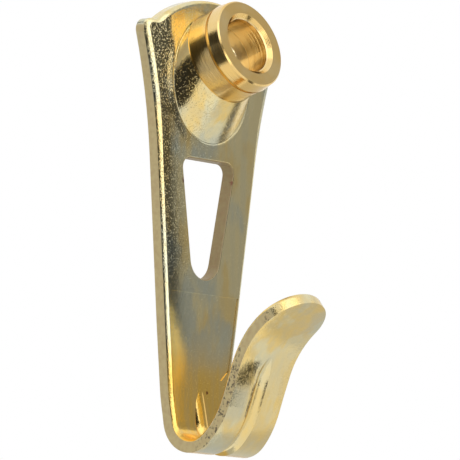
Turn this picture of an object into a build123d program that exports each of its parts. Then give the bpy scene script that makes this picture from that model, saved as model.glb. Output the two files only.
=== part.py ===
"""A picture hanger: a stamped and bent strip with a hook, and a turned bushing that guides the nail.

Millimetres. The wall is the plane Y = 0, the hanger stands in front of it on the -Y side, and +Z is
up. The origin is on the back face, in the middle of the flat land between the window and the bend.
"""
import os
from math import atan2, cos, radians, sin, tan

from build123d import *

# The sheet, and the round that the blanking punch leaves along the front edges
sheet = 1.2
edge_roll = 0.44

# Front outline of the plate, as half widths and heights
hook_half_width = 3.45
side_above_bend = 0.54
side_blend_clearance = 0.02
land_half_width = 4.44
land_height = 0.66
neck_half_width = 6.1
neck_height = 14.9
ear_half_width = 8.74
ear_height = 26.1
ear_round = 0.95
ear_dome_round = 0.6
shoulder_width = 1.99
dome_rise = 2.4
dome_height = ear_height + dome_rise
land_blend = 60.0

# Window, the hull of two small corner circles and one larger circle below
window_below_boss = 0.3
window_above_pad = 1.25
window_corner_radius = 0.85
window_corner_half_width = 3.11
window_bottom_radius = 1.76
window_edge_roll = 0.15

# Hook: radii of the centre line of the strip, and how far each arc turns
bend_top = -4.67
lead_in_radius = 14.5
lead_in_turn = 11.0
bend_radius = 2.45
bend_turn = 123.0
trail_radius = 6.9
trail_turn = 27.0
lip_length = 3.16
lip_radius = 8.2
lip_turn = 32.5
tip_length = 3.5
waist_half_width = 3.2
waist_from_tip = 10.5
tip_half_width = 3.33
hook_side_share = 0.7

# Stiffening bead pressed through the bend: a rib inside the hook and a groove outside it
bead_half_width = 0.72
bead_height = 0.42
bead_root = 0.3
bead_top_turn = 3.0
bead_top_run = 5.0
bead_lip_share = 0.75
bead_lip_radius = 3.0
bead_lip_turn = 20.0
bead_lip_run = 2.5

# Coined pad on the land
pad_top = 3.58
pad_bottom = -3.53
pad_corner = 0.95
pad_inset = 0.5
pad_depth = 0.08

# Bushing, turned, on an axis that points down into the wall
nail_angle = 18.5
seat_centre_depth = 2.2
seat_below_ear = 2.56
seat_centre_height = ear_height - seat_below_ear
bushing_length = 3.375
face_radius = 3.75
rim_radius = 4.01
rim_length = 1.1
rim_break = 0.12
step_width = 0.16
step_depth = 0.12
collar_radius = 3.97
head_seat_radius = 2.375
head_seat_depth = 2.4
mouth_chamfer = 0.38
shank_hole_radius = 0.7
shank_entry_chamfer = 0.1
spigot_radius = 2.9
stake_radius = 3.2
stake_length = 0.3
seat_clearance = 0.03
seat_cut_length = 0.35
spigot_clearance = 0.02

# Boss drawn out of the plate to carry the bushing
boss_root_radius = 5.08
boss_root_below_seat = 3.24
boss_root_height = seat_centre_height - boss_root_below_seat
boss_root_depth = 0.4
boss_top_radius = 4.04
boss_land = 0.85
pocket_half_width = 3.9
pocket_half_height = 4.65
pocket_below_seat = 1.69
pocket_centre_height = seat_centre_height - pocket_below_seat
pocket_floor_radius = 3.4

# How near a point or an edge has to be to count as on a face
close = 0.001

# The side plane looks along the width of the hanger: its x runs out from the wall, its y upwards
side = Plane(origin=(0, 0, 0), x_dir=(0, -1, 0), z_dir=(-1, 0, 0))
front = Plane.XZ

# The bushing's plane: its x is across the axis, its y runs along the axis away from the wall
axis_out = Vector(0, -cos(radians(nail_angle)), sin(radians(nail_angle)))
seat_centre = Vector(0, -seat_centre_depth, seat_centre_height)
seat_plane = Plane(origin=seat_centre, x_dir=(1, 0, 0), z_dir=axis_out)


def strip_line(inside, top):
    """Line of the bent strip at a distance inside its centre line, from a height to the tip."""
    down = Line((sheet / 2 + inside, top), (sheet / 2 + inside, bend_top))
    lead_in = JernArc(down @ 1, down % 1, lead_in_radius - inside, lead_in_turn)
    bend = JernArc(lead_in @ 1, lead_in % 1, bend_radius - inside, bend_turn)
    trail = JernArc(bend @ 1, bend % 1, trail_radius - inside, trail_turn)
    lip = Line(trail @ 1, trail @ 1 + (trail % 1) * lip_length)
    curl = JernArc(lip @ 1, lip % 1, lip_radius + inside, -lip_turn)
    tip = Line(curl @ 1, curl @ 1 + (curl % 1) * tip_length)
    return down, lead_in, bend, trail, lip, curl, tip


# The centre line, and the plane of the tip: its x is the hanger's width, its y runs out to the tip
with BuildLine(side):
    _, lead_in, bend, *_, tip = strip_line(0, dome_height)
joint_height = (lead_in @ 1).Z
hook_side_from_tip = (tip @ 1 - bend @ hook_side_share).dot(tip % 1)
tip_plane = Plane(origin=tip @ 1, x_dir=(1, 0, 0), z_dir=Vector(1, 0, 0).cross(tip % 1))

# The plate's sides turn outwards just above the bend, and their blend ends clear of it
hook_side_top = joint_height + side_above_bend
side_turn = atan2(land_half_width - hook_half_width, land_height - hook_side_top)
side_blend = (side_above_bend - side_blend_clearance) / tan(side_turn / 2)

# Outline of the blank: the plate seen from the front, and the hook seen square to its tip
with BuildPart() as blank:
    with BuildSketch(front) as plate_outline:
        with BuildLine():
            edge = Polyline(
                (0, joint_height),
                (hook_half_width, joint_height),
                (hook_half_width, hook_side_top),
                (land_half_width, land_height),
                (neck_half_width, neck_height),
            )
            flare = TangentArc(edge @ 1, (ear_half_width, ear_height), tangent=edge % 1)
            kink_half_width = ear_half_width - shoulder_width
            dome_radius = (kink_half_width**2 + dome_rise**2) / (2 * dome_rise)
            Line(flare @ 1, (kink_half_width, ear_height))
            RadiusArc((kink_half_width, ear_height), (0, dome_height), -dome_radius)
            mirror(about=Plane.YZ)
        make_face()
        for half_width, radius in (
            (hook_half_width, side_blend),
            (land_half_width, land_blend),
            (ear_half_width, ear_round),
            (kink_half_width, ear_dome_round),
        ):
            at_corner = plate_outline.vertices().filter_by(
                lambda v: abs(abs(v.X) - half_width) < close and v.Y > joint_height + close
            )
            fillet(at_corner, radius)
    extrude(amount=2 * sheet)
    extrude(plate_outline.sketch, amount=-sheet)
    with BuildSketch(tip_plane):
        with BuildLine():
            Spline(
                (hook_half_width, -hook_side_from_tip),
                (waist_half_width, -waist_from_tip),
                (tip_half_width, -tip_half_width),
                tangents=((0, 1), (0, 1)),
            )
            RadiusArc((tip_half_width, -tip_half_width), (0, 0), -tip_half_width)
            Polyline(
                (hook_half_width, -hook_side_from_tip),
                (hook_half_width, -2 * hook_side_from_tip),
                (0, -2 * hook_side_from_tip),
            )
            mirror(about=Plane.YZ)
        make_face()
    extrude(amount=hook_side_from_tip, both=True)

with BuildPart() as hook_plate:
    # The bent strip, as wide as the ears, is cut to the blank's outline
    with BuildSketch(side):
        with BuildLine():
            back_lines = strip_line(-sheet / 2, dome_height)
            inside_lines = strip_line(sheet / 2, dome_height)
            Line(back_lines[-1] @ 1, inside_lines[-1] @ 1)
            Line(back_lines[0] @ 0, inside_lines[0] @ 0)
        make_face()
    extrude(amount=ear_half_width, both=True)
    add(blank.part, mode=Mode.INTERSECT)

    # The punch rounds every edge of the inside face
    inside_middles = [side.from_local_coords(line @ 0.5) for line in inside_lines]
    inside_faces = hook_plate.faces().filter_by(
        lambda face: min(face.distance_to(point) for point in inside_middles) < close
    )
    inside_edges = inside_faces.edges()
    fillet(inside_edges.filter_by(lambda e: inside_edges.count(e) == 1), edge_roll)

    # Window, between the pad and the boss
    window_top = boss_root_height - boss_root_radius - window_below_boss
    window_bottom = pad_top + window_above_pad
    with BuildSketch(front):
        with Locations(
            (window_corner_half_width - window_corner_radius, window_top - window_corner_radius),
            (window_corner_radius - window_corner_half_width, window_top - window_corner_radius),
        ):
            Circle(window_corner_radius)
        with Locations((0, window_bottom + window_bottom_radius)):
            Circle(window_bottom_radius)
        make_hull()
    extrude(amount=2 * sheet, both=True, mode=Mode.SUBTRACT)
    window_rim = hook_plate.edges().filter_by(
        lambda e: e.bounding_box().max.Y < -sheet + close
        and abs(e.center().X) < window_corner_half_width + close
        and window_bottom - close < e.center().Z < window_top + close
    )
    fillet(window_rim, window_edge_roll)

    # Boss: a leaning cone that starts inside the sheet, and the seat faced off square to the nail
    with BuildSketch(seat_plane):
        Circle(collar_radius + seat_clearance)
    extrude(amount=seat_cut_length, mode=Mode.SUBTRACT)
    with BuildSketch(front.offset(boss_root_depth)):
        with Locations((0, boss_root_height)):
            Circle(boss_root_radius)
    with BuildSketch(seat_plane):
        Circle(boss_top_radius)
    loft()

    # Hollow behind the boss, and the hole for the bushing's spigot
    with BuildSketch(front):
        with Locations((0, pocket_centre_height)):
            Ellipse(pocket_half_width, pocket_half_height)
    with BuildSketch(seat_plane.offset(-boss_land)):
        Circle(pocket_floor_radius)
    loft(mode=Mode.SUBTRACT)
    with BuildSketch(seat_plane):
        Circle(spigot_radius + spigot_clearance)
    extrude(amount=2 * boss_land, both=True, mode=Mode.SUBTRACT)

    # Coined pad
    with BuildSketch(front.offset(sheet)):
        with BuildLine():
            pad_slope = tan(side_turn)
            pad_half_top = land_half_width - pad_inset + pad_slope * (pad_top - land_height)
            pad_half_bottom = pad_half_top - pad_slope * (pad_top - pad_bottom - pad_corner)
            Polyline(
                (0, pad_top),
                (pad_half_top, pad_top),
                (pad_half_bottom, pad_bottom + pad_corner),
                (pad_half_bottom - pad_corner, pad_bottom),
                (0, pad_bottom),
            )
            mirror(about=Plane.YZ)
        make_face()
    extrude(amount=-pad_depth, mode=Mode.SUBTRACT)

    # Bead through the bend: the same round nosed section raises the rib and cuts the groove
    bead_radius = (bead_half_width**2 + bead_height**2) / (2 * bead_height)
    bead_sunk = bead_radius - bead_height
    for face_inside, mode in ((sheet / 2, Mode.ADD), (-sheet / 2, Mode.SUBTRACT)):
        inside = face_inside - bead_sunk
        with BuildLine(side):
            _, _, strip_bend, *_ = strip_line(inside, dome_height)
        from_turn = bead_top_turn / bend_turn
        with BuildLine(side) as bead_line:
            start = strip_bend @ from_turn
            way = strip_bend % from_turn
            Line(start - way * bead_top_run, start)
            bend = JernArc(start, way, bend_radius - inside, bend_turn - bead_top_turn)
            trail = JernArc(bend @ 1, bend % 1, trail_radius - inside, trail_turn)
            lip = Line(trail @ 1, trail @ 1 + (trail % 1) * (lip_length * bead_lip_share))
            leave = JernArc(lip @ 1, lip % 1, bead_lip_radius, -bead_lip_turn)
            Line(leave @ 1, leave @ 1 + (leave % 1) * bead_lip_run)
        path = bead_line.wire()
        with BuildSketch(Plane(origin=path @ 0, x_dir=(1, 0, 0), z_dir=path % 0)):
            Circle(bead_radius)
            with Locations((0, bead_sunk - bead_root)):
                Rectangle(
                    2 * bead_radius, 2 * bead_radius, align=(Align.CENTER, Align.MIN), mode=Mode.INTERSECT
                )
        sweep(path=path, mode=mode)

hook_plate.part.label = "hook_plate"

with BuildPart() as nail_bushing:
    # Turned profile: x is the radius, y runs along the axis away from the seat
    with BuildSketch(Plane(origin=seat_centre, x_dir=(1, 0, 0), z_dir=seat_plane.y_dir * -1)):
        with BuildLine():
            rim_back = bushing_length - rim_length
            floor_height = bushing_length - head_seat_depth
            tail = -boss_land - stake_length
            Polyline(
                (shank_hole_radius, tail),
                (stake_radius, tail),
                (stake_radius, -boss_land),
                (spigot_radius, -boss_land),
                (spigot_radius, 0),
                (collar_radius, 0),
                (collar_radius, rim_back - 2 * step_width),
                (collar_radius - step_depth, rim_back - 2 * step_width),
                (collar_radius - step_depth, rim_back - step_width),
                (rim_radius - step_depth / 2, rim_back - step_width),
                (rim_radius, rim_back),
                (face_radius + rim_break, bushing_length - rim_break),
                (face_radius, bushing_length),
                (head_seat_radius + mouth_chamfer, bushing_length),
                (head_seat_radius, bushing_length - mouth_chamfer),
                (head_seat_radius, floor_height),
                (shank_hole_radius + shank_entry_chamfer, floor_height),
                (shank_hole_radius, floor_height - shank_entry_chamfer),
                close=True,
            )
        make_face()
    revolve(axis=Axis(seat_centre, axis_out))
nail_bushing.part.label = "nail_bushing"

os.makedirs("parts", exist_ok=True)
export_step(hook_plate.part, "parts/hook_plate.step")
export_step(nail_bushing.part, "parts/nail_bushing.step")
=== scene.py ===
# %% [markdown]
# A picture hanger, about 38 mm tall: a bent strip of brass plated steel, and a turned brass bushing
# that holds the nail at a slant. Both shapes come from the CAD model as a fixed frame, and this script
# gives them their finish, a floor, light and a camera. All lengths are in metres, the wall is the
# plane Y = 0, and the hanger stands in front of it on the -Y side.

# %% Load the frame
import math

import bpy
from mathutils import Matrix, Vector

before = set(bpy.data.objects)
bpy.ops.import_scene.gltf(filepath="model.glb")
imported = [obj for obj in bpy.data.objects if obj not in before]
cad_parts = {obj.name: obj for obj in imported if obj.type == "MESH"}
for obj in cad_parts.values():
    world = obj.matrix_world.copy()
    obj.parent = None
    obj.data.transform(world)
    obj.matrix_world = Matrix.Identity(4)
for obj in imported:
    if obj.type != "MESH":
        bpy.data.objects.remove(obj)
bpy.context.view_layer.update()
MM = 0.001
print("loaded", sorted(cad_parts))

# %% [markdown]
# The camera looks from the left of the hanger, and from a little below its middle. It stands about
# ten times the hanger's height away, so the hanger hardly narrows with distance, and its lens is long
# for the same reason. A camera could be aimed by a Track To constraint, which gives no say over its
# roll. This one is built from the three directions of its picture: right, up, and back towards the
# camera.

# %% Camera
camera_turn = math.radians(48.15)
camera_rise = math.radians(-6.08)
camera_roll = math.radians(2.04)
camera_distance = 380 * MM
aimed_height = 10.165 * MM
aimed_right = 2.8407 * MM
aimed_down = 1.0834 * MM

across = Vector((math.cos(camera_turn), -math.sin(camera_turn), 0))
towards = Vector(
    (
        -math.sin(camera_turn) * math.cos(camera_rise),
        -math.cos(camera_turn) * math.cos(camera_rise),
        math.sin(camera_rise),
    )
)
upwards = towards.cross(across)
right = across * math.cos(camera_roll) + upwards * math.sin(camera_roll)
up = upwards * math.cos(camera_roll) - across * math.sin(camera_roll)
aim = Vector((0, 0, aimed_height)) + right * aimed_right - up * aimed_down
spot = aim + towards * camera_distance

camera_data = bpy.data.cameras.new("photo_camera")
camera_data.sensor_width = 36
camera_data.lens = 352.17
camera_data.clip_start = 0.01
camera_data.clip_end = 20
camera = bpy.data.objects.new("photo_camera", camera_data)
bpy.context.scene.collection.objects.link(camera)
camera.matrix_world = Matrix(
    (
        (right.x, up.x, towards.x, spot.x),
        (right.y, up.y, towards.y, spot.y),
        (right.z, up.z, towards.z, spot.z),
        (0, 0, 0, 1),
    )
)
bpy.context.scene.camera = camera
print("camera at", [round(v / MM, 1) for v in spot], "mm")

# %% [markdown]
# Shader maths reads best as plain expressions. This small class wraps an output socket, and each
# operator on it adds one Math node, so that `1 - mask` works as it does on a number. Any other node
# comes from the same `node` method. It sets a node up before it feeds its sockets, because a node's
# settings decide which sockets it has.

# %% A small helper for shader nodes


class Wire:
    """An output socket of a material, with operators that add Math nodes."""

    def __init__(self, tree, socket):
        self.tree = tree
        self.socket = socket

    def node(self, kind, settings=None, **inputs):
        """Adds a node, sets it up, and feeds its sockets with values or wires."""
        made = self.tree.nodes.new(kind)
        for name, value in (settings or {}).items():
            setattr(made, name, value)
        for name, value in inputs.items():
            socket = find_socket(made, name)
            if isinstance(value, Wire):
                self.tree.links.new(value.socket, socket)
            else:
                socket.default_value = value
        return Wire(self.tree, next(s for s in made.outputs if s.enabled))

    def out(self, name):
        """Another output of the node that this wire comes from."""
        return Wire(self.tree, self.socket.node.outputs[name])

    def maths(self, operation, first, second=0.0):
        """A Math node on one or two values."""
        return self.node("ShaderNodeMath", {"operation": operation}, in_0=first, in_1=second)

    def vector(self, operation, other=(0, 0, 0), **inputs):
        """A Vector Math node on this wire and, where the operation takes one, another vector."""
        settings = {"operation": operation}
        return self.node("ShaderNodeVectorMath", settings, in_0=self, in_1=other, **inputs)

    def __add__(self, other):
        return self.maths("ADD", self, other)

    def __sub__(self, other):
        return self.maths("SUBTRACT", self, other)

    def __mul__(self, other):
        return self.maths("MULTIPLY", self, other)

    def __rsub__(self, other):
        return self.maths("SUBTRACT", other, self)

    def __abs__(self):
        return self.maths("ABSOLUTE", self)

    __radd__ = __add__
    __rmul__ = __mul__

    def larger(self, other):
        """This value or the other one, whichever is larger at each point."""
        return self.maths("MAXIMUM", self, other)

    def between(self, low, high):
        """0 up to low, 1 from high, and smooth between them."""
        settings = {"interpolation_type": "SMOOTHSTEP"}
        return self.node("ShaderNodeMapRange", settings, Value=self, From_Min=low, From_Max=high)


def find_socket(made, name):
    """The input of a node by its name, with _ for each space, or by its number: in_0 is the first."""
    if name.startswith("in_"):
        return made.inputs[int(name.removeprefix("in_"))]
    wanted = name.replace("_", " ")
    return next(s for s in made.inputs if s.name == wanted and s.enabled)


# %% [markdown]
# Every finish starts in the same way: a new material, its shader, and a wire that gives the place of
# each point on the object. The object's own coordinates are in metres here, as the mesh is, so sizes
# in a finish can be written as they would be measured on the hanger.

# %% Making a material and feeding its shader


def new_material(name):
    """A material with its shader, and a wire with the object's own coordinates."""
    material = bpy.data.materials.new(name)
    material.use_nodes = True
    shader = material.node_tree.nodes["Principled BSDF"]
    position = material.node_tree.nodes.new("ShaderNodeTexCoord").outputs["Object"]
    return material, shader, Wire(material.node_tree, position)


def feed(shader, name, wire):
    """Links a wire to one of the shader's own sockets."""
    wire.tree.links.new(wire.socket, shader.inputs[name])


# %% [markdown]
# Three more helpers serve both metals. Noise lies around 0.5, so a soft step that starts near 0.5 keeps
# its higher parts, as clouds or grain, and a shift keeps two noises from falling together. A mix lays
# one colour over another by a share between 0 and 1. A soft step at each end of a range gives such a
# share too, and shares that are multiplied overlap, so a region is written as its limits in depth,
# height and width.

# %% Noise, mixes and regions


def noise(place, scale, detail=2.0, stretch=(1, 1, 1), shift=(0, 0, 0)):
    """Noise with features of about one over the scale, in metres, longer where stretch is below 1."""
    moved = place.node("ShaderNodeMapping", Vector=place, Scale=stretch, Location=shift)
    return place.node("ShaderNodeTexNoise", Vector=moved, Scale=scale, Detail=detail)


def mix_colour(share, first, second):
    """The first colour where the share is 0, and the second where it is 1."""
    return share.node("ShaderNodeMix", {"data_type": "RGBA"}, Factor=share, A=first, B=second)


def inside(value, low, high, soft):
    """1 where a value lies between two limits, and 0 outside them, with soft ends."""
    return value.between(low - soft, low + soft) * (1 - value.between(high - soft, high + soft))


# %% [markdown]
# The strip is yellow plated sheet steel. Every share below starts from where a point lies on it: how
# far right of the middle, how far in front of the wall, how high, and which way its surface faces. The
# object's own coordinates give the place, so the finish stays on the metal however it is turned.

# %% Where a point lies on the strip
SHEET = 1.2 * MM
BOSS_HEIGHT = 21.7 * MM
BOSS_HALF_WIDE = 4.64 * MM
BOSS_HALF_TALL = 5.3 * MM

plated, plated_shader, place = new_material("plated_steel")
across_x = place.node("ShaderNodeSeparateXYZ", Vector=place)
off_middle = abs(across_x)
depth = across_x.out("Y") * -1
height = across_x.out("Z")
normal = place.node("ShaderNodeNewGeometry").out("Normal")
normal_x = place.node("ShaderNodeSeparateXYZ", Vector=normal)
sideways = abs(normal_x)

# A region's share is 0 at its first limit and 1 at its second
on_front = depth.between(SHEET - 0.5 * MM, SHEET - 0.3 * MM)
on_plate = height.between(-5 * MM, -2 * MM)
on_lip = depth.between(4 * MM, 6 * MM)
on_boss = depth.between(SHEET + 0.1 * MM, SHEET + 0.6 * MM) * height.between(12 * MM, 14 * MM)

# This distance is 1 on the ellipse where the boss rises from the sheet. The depth is divided by a
# whole metre, so that it hardly counts.
from_boss = (
    place.vector("SUBTRACT", (0, 0, BOSS_HEIGHT))
    .vector("DIVIDE", (BOSS_HALF_WIDE, 1.0, BOSS_HALF_TALL))
    .vector("LENGTH")
)
print("regions of the strip:", len(plated.node_tree.nodes), "nodes")

# %% [markdown]
# The plating runs in soft clouds of straw, gold and grey blue, longer than wide, with more gold on the
# boss and the lip, and deep gold inside the bend. The clouds could be painted on a texture, but noise
# needs no unwrapping, and it has no seams on a strip that is bent, pierced and drawn.

# %% Clouds of straw, gold and grey blue
STRAW = (0.82, 0.70, 0.38, 1)
GOLD = (0.84, 0.62, 0.23, 1)
BEND_GOLD = (0.90, 0.57, 0.12, 1)
GREY_BLUE = (0.50, 0.56, 0.49, 1)
GOLD_STRENGTH = 0.75
RAISED_BLUE_LOSS = 0.45
TALL_CLOUD = (1, 1, 0.5)

clouds = noise(place, 330, 3, TALL_CLOUD)
raised = on_lip.larger(on_boss)
gold_share = clouds.between(0.50, 0.62) * GOLD_STRENGTH
gold_share = gold_share.larger(clouds.between(0.42, 0.52) * raised)
blue_share = noise(place, 300, 4, TALL_CLOUD, (0.03, 0.01, 0.02)).between(0.50, 0.64)
below = height * -1
in_bend = inside(depth, 0.7 * MM, 3.9 * MM, 0.3 * MM)
bend_gold = below.between(-1 * MM, 4.5 * MM) * in_bend
blue_share = blue_share * (1 - bend_gold) * (1 - raised * RAISED_BLUE_LOSS)
print("with the clouds:", len(plated.node_tree.nodes), "nodes")

# %% [markdown]
# The lip shows two tones: it is warmer right of its groove, and duller left of it. Faint grey streaks
# run up the whole strip, as they do along the grain of rolled sheet. The shares say how much of each
# colour a point gets, and the mixes lay the colours over one another in that order.

# %% Two tones of the lip
WARM_STRENGTH = 0.6
DULL_STRENGTH = 0.85

low_lip = on_lip * (1 - height.between(-2.5 * MM, 0.5 * MM))
warm_side = low_lip * across_x.between(-0.5 * MM, 1 * MM)
left_of_groove = 1 - across_x.between(-1.6 * MM, -0.8 * MM)
dull_side = on_lip * inside(height, -7.5 * MM, -4.4 * MM, 0.8 * MM) * left_of_groove
gold_share = gold_share.larger(warm_side * WARM_STRENGTH)
blue_share = (blue_share * (1 - warm_side * WARM_STRENGTH)).larger(dull_side * DULL_STRENGTH)
print("with the lip's tones:", len(plated.node_tree.nodes), "nodes")

# %% All the colours together
BLUE_STRENGTH = 0.62
STREAK_STRENGTH = 0.16
TALL_STREAK = (1, 1, 0.06)

streaks = noise(place, 1500, 2, TALL_STREAK).between(0.35, 0.65)
tint = mix_colour(gold_share, STRAW, GOLD)
tint = mix_colour(bend_gold, tint, BEND_GOLD)
tint = mix_colour(blue_share * BLUE_STRENGTH, tint, GREY_BLUE)
tint = mix_colour(streaks * STREAK_STRENGTH, tint, GREY_BLUE)
print("with the colours mixed:", len(plated.node_tree.nodes), "nodes")

# %% [markdown]
# Where the punch cut the sheet, its edge is bare and dull. These faces could be picked by hand and
# given a second material, but their normals tell them apart: the strip's sides face left and right,
# and between the window's limits only its walls face neither front nor back. The window's walls get a
# darker tan, which is painted shade for the shade inside the window. The cut sides of the bend and the
# lip have dark specks as well, in two stretches.

# %% Cut faces
CUT_TAN = (0.52, 0.42, 0.20, 1)
# The window's walls are the same cut metal; their darker tan is painted shade inside the window
WINDOW_SHADE_TAN = (0.33, 0.25, 0.11, 1)
RUST = (0.22, 0.05, 0.02, 1)
SPECK = (0.03, 0.025, 0.015, 1)
RUST_STRENGTH = 0.2
SPECK_STRENGTH = 0.8
WINDOW_BOTTOM = 3.9 * MM
WINDOW_TOP = 15.7 * MM
CUT_ROUGHNESS = 0.48
PLATED_ROUGHNESS = 0.13

in_window = inside(height, WINDOW_BOTTOM, WINDOW_TOP, 0.1 * MM)
in_window = in_window * (1 - off_middle.between(3.6 * MM, 3.8 * MM))
window_cut = in_window * (1 - abs(normal_x.out("Y")).between(0.87, 0.99))
cut = sideways.between(0.90, 0.97).larger(window_cut)
cut_grain = noise(place, 2500, 3).between(0.3, 0.75)
specked = depth.between(3.6 * MM, 5 * MM) * (1 - inside(depth, 8.4 * MM, 11 * MM, 0.4 * MM))
specks = noise(place, 4200).between(0.55, 0.62) * specked
# Painted shade: the window's walls take the darker tan
cut_tint = mix_colour(window_cut, CUT_TAN, WINDOW_SHADE_TAN)
cut_tint = mix_colour(cut_grain * RUST_STRENGTH, cut_tint, RUST)
cut_tint = mix_colour(specks * SPECK_STRENGTH, cut_tint, SPECK)
tint = mix_colour(cut, tint, cut_tint)
feed(plated_shader, "Roughness", cut * (CUT_ROUGHNESS - PLATED_ROUGHNESS) + PLATED_ROUGHNESS)
feed(plated_shader, "Metallic", 1 - cut)
print("with the cut faces:", len(plated.node_tree.nodes), "nodes")

# %% [markdown]
# A few small stains of rust sit on the front. Each is a spot with a distance that noise pushes about,
# so that its outline is ragged, and the loop adds up as many spots as the list has.

# %% Stains
# Each stain is a place across the front, a height and a size, in millimetres
STAINS = ((-3.1, 12.9, 0.2), (2.95, 13.3, 0.22), (0.9, -4.6, 0.2), (1.9, -6.0, 0.16))
STAIN_STRENGTH = 0.85
wobble = (noise(place, 3500, 3) - 0.5) * MM
stains = 0
for stain_x, stain_z, stain_size in STAINS:
    stain_centre = (stain_x * MM, -SHEET, stain_z * MM)
    away = place.vector("SUBTRACT", stain_centre).vector("LENGTH") + wobble
    stains = (1 - away.between(0.2 * stain_size * MM, stain_size * MM)) + stains
stains = stains.maths("MINIMUM", stains, 1.0)
feed(plated_shader, "Base Color", mix_colour(stains * STAIN_STRENGTH, tint, RUST))
print(len(STAINS), "stains:", len(plated.node_tree.nodes), "nodes")

# %% [markdown]
# Polished metal shows every turn of its surface in what it mirrors. The punch pulled the sheet's front
# down next to its left edge and ear, the boss rises from a soft foot, and the lip is crowned across its
# width, with a shallow dent and a steeper flank beside its groove. These soft shapes could be modelled
# as well. They show in the reflections and not in the outline, so they tilt the normal and the mesh
# stays as it is. A tilt is a slope: 0.1 leans the surface by about 6 degrees.

# %% The front's left side and the boss's foot
SIDE_SLOPE = 0.1166
HALF_WIDTH_AT_ORIGIN = 4.36 * MM
FLARE_START = 14.9 * MM
FLARE_GROWTH = 10.7
FALL_REACH = 1.7 * MM
FALL_TILT = 0.3
EAR_TILT = 0.38
FOOT_TILT = 0.09

flare = (height - FLARE_START).larger(0.0)
half_width = height * SIDE_SLOPE + HALF_WIDTH_AT_ORIGIN + flare * flare * FLARE_GROWTH
to_edge = half_width - off_middle
edge_fall = place.maths("EXPONENT", to_edge * (-1 / FALL_REACH))
ear_fall = 1 - to_edge.between(2.6 * MM, 4.0 * MM)
by_ear = height.between(18.0 * MM, 20.5 * MM)
fall = edge_fall * (1 - by_ear) * FALL_TILT + ear_fall * by_ear * EAR_TILT
fall = fall * on_plate * on_front * (1 - across_x.between(-1 * MM, 1 * MM)) * -1
foot = inside(from_boss, 1.05, 1.22, 0.05) * on_front * across_x * (FOOT_TILT / BOSS_HALF_WIDE)
print("front's side and foot:", len(plated.node_tree.nodes), "nodes")

# %% The lip's crown, dent and flank
CROWN_RADIUS = 30 * MM
DENT_TILT_X = 0.04
DENT_TILT_Z = 0.08
FLANK_TILT = 0.3

crown = across_x * (1 / CROWN_RADIUS) * on_lip
dent = inside(across_x, -2.9 * MM, -0.8 * MM, 0.3 * MM) * on_lip
dent = dent * inside(height, -4.3 * MM, -2.1 * MM, 0.35 * MM)
flank = inside(across_x, -1.0 * MM, -0.3 * MM, 0.12 * MM) * on_lip
flank = flank * inside(height, -7.2 * MM, -2.9 * MM, 0.4 * MM)
tilt_x = fall + foot + crown - dent * DENT_TILT_X + flank * FLANK_TILT
tilt = place.node("ShaderNodeCombineXYZ", X=tilt_x, Z=dent * DENT_TILT_Z)
tilted = normal.vector("ADD", tilt)
print("with the lip:", len(plated.node_tree.nodes), "nodes")

# %% [markdown]
# A punched edge isn't round like a fillet. It is flatter and wider, so its normals stay near one angle
# for most of its width, and it mirrors one bright line all along the strip. The mesh has a true round,
# and this step turns the normals on it, and on a narrow border beside it, towards that one angle. The
# border grows wider up the flare, as the real edge does.

# %% The rounded edge
ROUND_TILT = math.radians(34.5)
ROUND_SHARE = 0.72
EXTRA_LEAN = 0.2
BORDER = 0.28 * MM
EXTRA_BORDER = 0.25 * MM

keep_z = place.node("ShaderNodeCombineXYZ", Y=1.0, Z=1 - on_plate)
ahead = normal.vector("MULTIPLY", keep_z).vector("NORMALIZE")
ahead = ahead.vector("SCALE", Scale=math.cos(ROUND_TILT))
side_sign = across_x.maths("SIGN", across_x)
aside = place.node("ShaderNodeCombineXYZ", X=side_sign * math.sin(ROUND_TILT))
leaning = ahead.vector("ADD", aside)

widening = height.between(13 * MM, 19 * MM)
past_border = (to_edge - widening * EXTRA_BORDER).between(BORDER - 0.08 * MM, BORDER + 0.08 * MM)
by_place = (1 - past_border) * on_front * on_plate
by_normal = (sideways + widening * EXTRA_LEAN).between(0.22, 0.38)
by_normal = by_normal * off_middle.between(2.9 * MM, 3.0 * MM) * (1 - on_lip)
by_normal = by_normal * (1 - to_edge.between(0.6 * MM, 0.8 * MM))
rounded = by_place.larger(by_normal) * (1 - sideways.between(0.87, 0.94))
rounded = rounded * ROUND_SHARE
shaped = place.node("ShaderNodeMix", {"data_type": "VECTOR"}, Factor=rounded, A=tilted, B=leaning)
shaped = shaped.vector("NORMALIZE")
print("with the rounded edge:", len(plated.node_tree.nodes), "nodes")

# %% [markdown]
# Last come the marks that break a reflection into specks: a fine grain, small pits of the plating, a
# skin like orange peel, slow waves of the stamped sheet, and the fine groove that the punch left round
# the boss. The highest of them is 0.05 mm, so a Bump node does for them.

# %% Grain, pits, waves and the boss's groove
GRAIN_HIGH = 0.009 * MM
PIT_DEEP = 0.010 * MM
PITS_ELSEWHERE = 0.4
PEEL_HIGH = 0.009 * MM
WAVE_HIGH = 0.05 * MM
GROOVE_DEEP = 0.04 * MM

grain = noise(place, 9000)
peel = noise(place, 1300)
waves = noise(place, 280, 1)
pits = noise(place, 6500, shift=(0.01, 0.02, 0.03)).between(0.56, 0.70)
pitted = height.between(2 * MM, 10 * MM) * (1 - across_x.between(-1.5 * MM, 1.5 * MM))
pits = pits * (pitted * (1 - PITS_ELSEWHERE) + PITS_ELSEWHERE)
on_face = on_front * (1 - depth.between(SHEET + 0.02 * MM, SHEET + 0.06 * MM))
groove = inside(from_boss, 1.025, 1.045, 0.012) * on_face
relief = grain * GRAIN_HIGH - pits * PIT_DEEP + peel * PEEL_HIGH + waves * WAVE_HIGH
relief = relief - groove * GROOVE_DEEP
bump = place.node("ShaderNodeBump", Height=relief, Distance=1.0, Normal=shaped)
feed(plated_shader, "Normal", bump)
print("plated steel:", len(plated.node_tree.nodes), "nodes")

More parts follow.
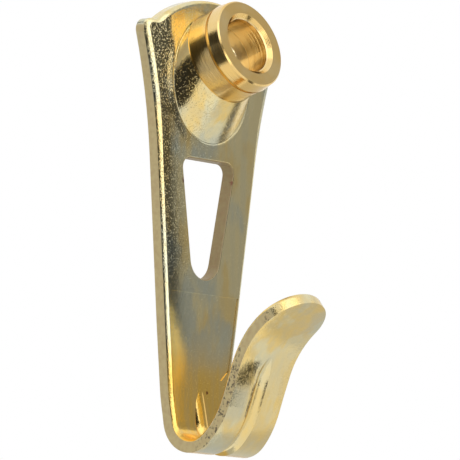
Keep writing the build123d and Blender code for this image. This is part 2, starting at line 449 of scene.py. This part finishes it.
# %% [markdown]
# The bushing is turned from brass bar on a lathe, so its marks are rings around its own axis. They
# could be a spun texture, but rings made from the distance to the axis and the place along it follow
# the turned shape everywhere. Its face is cut dull, its rim and neck are bright, and its bore keeps
# the coarse lines of the drill, in a paler tone because little of the room reaches it.

# %% Where a point lies on the bushing
nail_angle = math.radians(18.5)
bushing_axis = Vector((0, -math.cos(nail_angle), math.sin(nail_angle)))
seat_centre = Vector((0, -2.2, 23.54)) * MM

turned, turned_shader, place = new_material("turned_brass")
from_seat = place.vector("SUBTRACT", seat_centre)
along = from_seat.vector("DOT_PRODUCT", bushing_axis)
radius = from_seat.vector("CROSS_PRODUCT", bushing_axis).vector("LENGTH")
in_bore = 1 - radius.between(2.3 * MM, 2.5 * MM)
normal = place.node("ShaderNodeNewGeometry").out("Normal")
faced = normal.vector("DOT_PRODUCT", bushing_axis).between(0.96, 0.99)
print("bushing's axis", [round(v, 3) for v in bushing_axis])

# %% Turned brass
BRASS = (0.84, 0.57, 0.20, 1)
PALE_BRASS = (0.86, 0.64, 0.29, 1)
BORE_BRASS = (0.88, 0.74, 0.46, 1)
BORE_STRENGTH = 0.7
BRIGHT_ROUGHNESS = 0.13
FACE_ROUGHER = 0.18
RINGS_ROUGHER = 0.1
RING_HIGH = 0.009 * MM
BRASS_GRAIN_HIGH = 0.003 * MM
THREAD_HIGH = 0.05 * MM


def lines(distance, per_metre, detail):
    """Noise that changes along one distance alone, so that it draws lines or rings."""
    settings = {"noise_dimensions": "1D"}
    return distance.node(
        "ShaderNodeTexNoise", settings, W=distance * per_metre, Scale=1.0, Detail=detail
    )


rings = lines(radius + along, 7000, 2.0)
threads = lines(along, 3000, 1.0)
brass_tint = mix_colour(noise(place, 400).between(0.4, 0.7), BRASS, PALE_BRASS)
turned_shader.inputs["Metallic"].default_value = 1.0
feed(turned_shader, "Base Color", mix_colour(in_bore * BORE_STRENGTH, brass_tint, BORE_BRASS))
roughness = faced * FACE_ROUGHER + rings * RINGS_ROUGHER + BRIGHT_ROUGHNESS
feed(turned_shader, "Roughness", roughness)
relief = rings * RING_HIGH + noise(place, 9000) * BRASS_GRAIN_HIGH + threads * in_bore * THREAD_HIGH
feed(turned_shader, "Normal", place.node("ShaderNodeBump", Height=relief, Distance=1.0))
print("turned brass:", len(turned.node_tree.nodes), "nodes")

# %% [markdown]
# Each metal goes onto its own piece of the frame. The meshes stay as they came from the CAD model, so
# what is seen is also what is measured.

# %% Both finishes go on
for node_name, finish in (("hook_plate", plated), ("nail_bushing", turned)):
    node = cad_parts[node_name]
    node.data.materials.clear()
    node.data.materials.append(finish)
    print(node_name, len(node.data.polygons), "faces", len(node.data.vertices), "corners")

# %% [markdown]
# The floor is pale and lies below the hook, under the picture's lower edge. The metal mirrors it, so it
# glows a little for glossy rays alone. A camera that looks down on the hanger finds its shadow there.

# %% Floor
floor_drop = 34 * MM
mirrored_glow = 0.2
bpy.ops.object.select_all(action="DESELECT")
bpy.ops.mesh.primitive_plane_add(size=3, location=(0, 0, -floor_drop))
floor = bpy.context.object
floor.name = "floor"
floor_finish, floor_shader, place = new_material("floor_paint")
floor_shader.inputs["Base Color"].default_value = (0.8, 0.8, 0.8, 1)
floor_shader.inputs["Roughness"].default_value = 0.8
floor_shader.inputs["Emission Color"].default_value = (1, 1, 1, 1)
mirrored = place.node("ShaderNodeLightPath").out("Is Glossy Ray")
feed(floor_shader, "Emission Strength", mirrored * mirrored_glow)
floor.data.materials.append(floor_finish)
print("floor", round(floor_drop / MM), "mm below the origin")

# %% [markdown]
# Bright metal shows its surroundings, so the light here is a set of surroundings: a white room with
# bright boxes, and dark and grey cards and cloths. Lamps alone would leave small hard glints on it. To
# find what a face mirrors, turn twice as far from the camera's direction as the face's normal does.
# The flat front mirrors what stands to its right, and the rounded edge mirrors the soft box.

# %% The white room
world = bpy.data.worlds.new("studio")
bpy.context.scene.world = world
world.use_nodes = True
background = world.node_tree.nodes["Background"]
background.inputs["Color"].default_value = (1, 1, 1, 1)
background.inputs["Strength"].default_value = 1.0
bpy.context.scene.view_settings.view_transform = "Standard"
print("room strength", background.inputs["Strength"].default_value)

# %% [markdown]
# A card is black, with a glow that turns it grey or makes a lamp of it. Only reflections see it, so it
# can stand anywhere without a shadow. Each is placed by two angles, as seen from the hanger: its turn
# from straight in front towards the camera's side, and its rise above the horizon.

# %% A sheet for reflections


def add_mirrored_sheet(name, glow, placing):
    """A black sheet that reflections alone see: a square metre, sized and placed by a matrix."""
    bpy.ops.object.select_all(action="DESELECT")
    bpy.ops.mesh.primitive_plane_add(size=1)
    made = bpy.context.object
    made.name = name
    made.data.transform(placing)
    finish, shader, _ = new_material(name)
    shader.inputs["Base Color"].default_value = (0.02, 0.02, 0.02, 1)
    shader.inputs["Roughness"].default_value = 0.9
    shader.inputs["Emission Color"].default_value = (1, 1, 1, 1)
    shader.inputs["Emission Strength"].default_value = glow
    made.data.materials.append(finish)
    made.visible_camera = False
    made.visible_shadow = False
    made.visible_diffuse = False
    print(name, "with a glow of", glow)


# %% Cards and soft boxes
card_distance = 300 * MM
card_middle = Vector((0, -4, 14)) * MM


def card(name, turn, rise, wide, high, glow):
    """A card that faces the hanger. Its turn, its rise and the angles it covers are in degrees."""
    turn, rise = math.radians(turn), math.radians(rise)
    direction = Vector(
        (-math.sin(turn) * math.cos(rise), -math.cos(turn) * math.cos(rise), math.sin(rise))
    )
    sides = (2 * card_distance * math.tan(math.radians(size) / 2) for size in (wide, high))
    placing = Matrix.Translation(card_middle + direction * card_distance)
    placing = placing @ direction.to_track_quat("Z", "Y").to_matrix().to_4x4()
    add_mirrored_sheet(name, glow, placing @ Matrix.Diagonal((*sides, 1, 1)))


card("soft_box", 22, 6, 26, 66, 1.9)
card("top_box", 40, 50, 60, 34, 1.6)
card("left_card", 70, 6, 70, 42, 0.0)
card("left_back_card", 124, 17, 50, 26, 0.0)
card("left_low_card", 107, -4, 16, 16, 0.0)
card("back_low_card", 133, -4, 36, 16, 0.5)
card("front_card", -17, 8, 48, 36, 0.05)
card("right_card", -52, 12, 42, 60, 0.33)
card("far_right_card", -100, 10, 50, 60, 0.85)

# %% [markdown]
# The lip, the bend and the lower side of the boss face down, and so they mirror the floor. Cloths of
# black and grey lie on it, seen by reflections alone, and give these parts their shade. Where two
# cloths overlap, the one that is lifted a little more is the one that shows.

# %% Cloths on the floor


def cloth(name, centre, turn, width, length, glow, lift=0.5):
    """A cloth on the floor. Its place, sizes and lift are in millimetres, its turn in degrees."""
    placing = Matrix.Translation((centre[0] * MM, centre[1] * MM, lift * MM - floor_drop))
    placing = placing @ Matrix.Rotation(math.radians(turn), 4, "Z")
    add_mirrored_sheet(name, glow, placing @ Matrix.Diagonal((width * MM, length * MM, 1, 1)))


cloth("left_cloth", (-226, -84), 200, 250, 300, 0.0)
cloth("left_back_cloth", (-165, 104), 146, 272, 230, 0.0)
cloth("back_cloth", (-136, 150), 67, 180, 375, 0.5, 1.0)
cloth("front_cloth", (57, -107), -63, 110, 26, 0.0)
cloth("grey_cloth", (118, 47), 0, 206, 128, 0.6, 1.0)
cloth("right_cloth", (130, -21), 0, 74, 38, 0.14, 1.2)
cloth("lip_grey_cloth", (71, -38), -28, 110, 60, 0.8, 0.8)
cloth("lip_cloth", (-91, -60), 30, 50, 50, 0.0, 1.0)
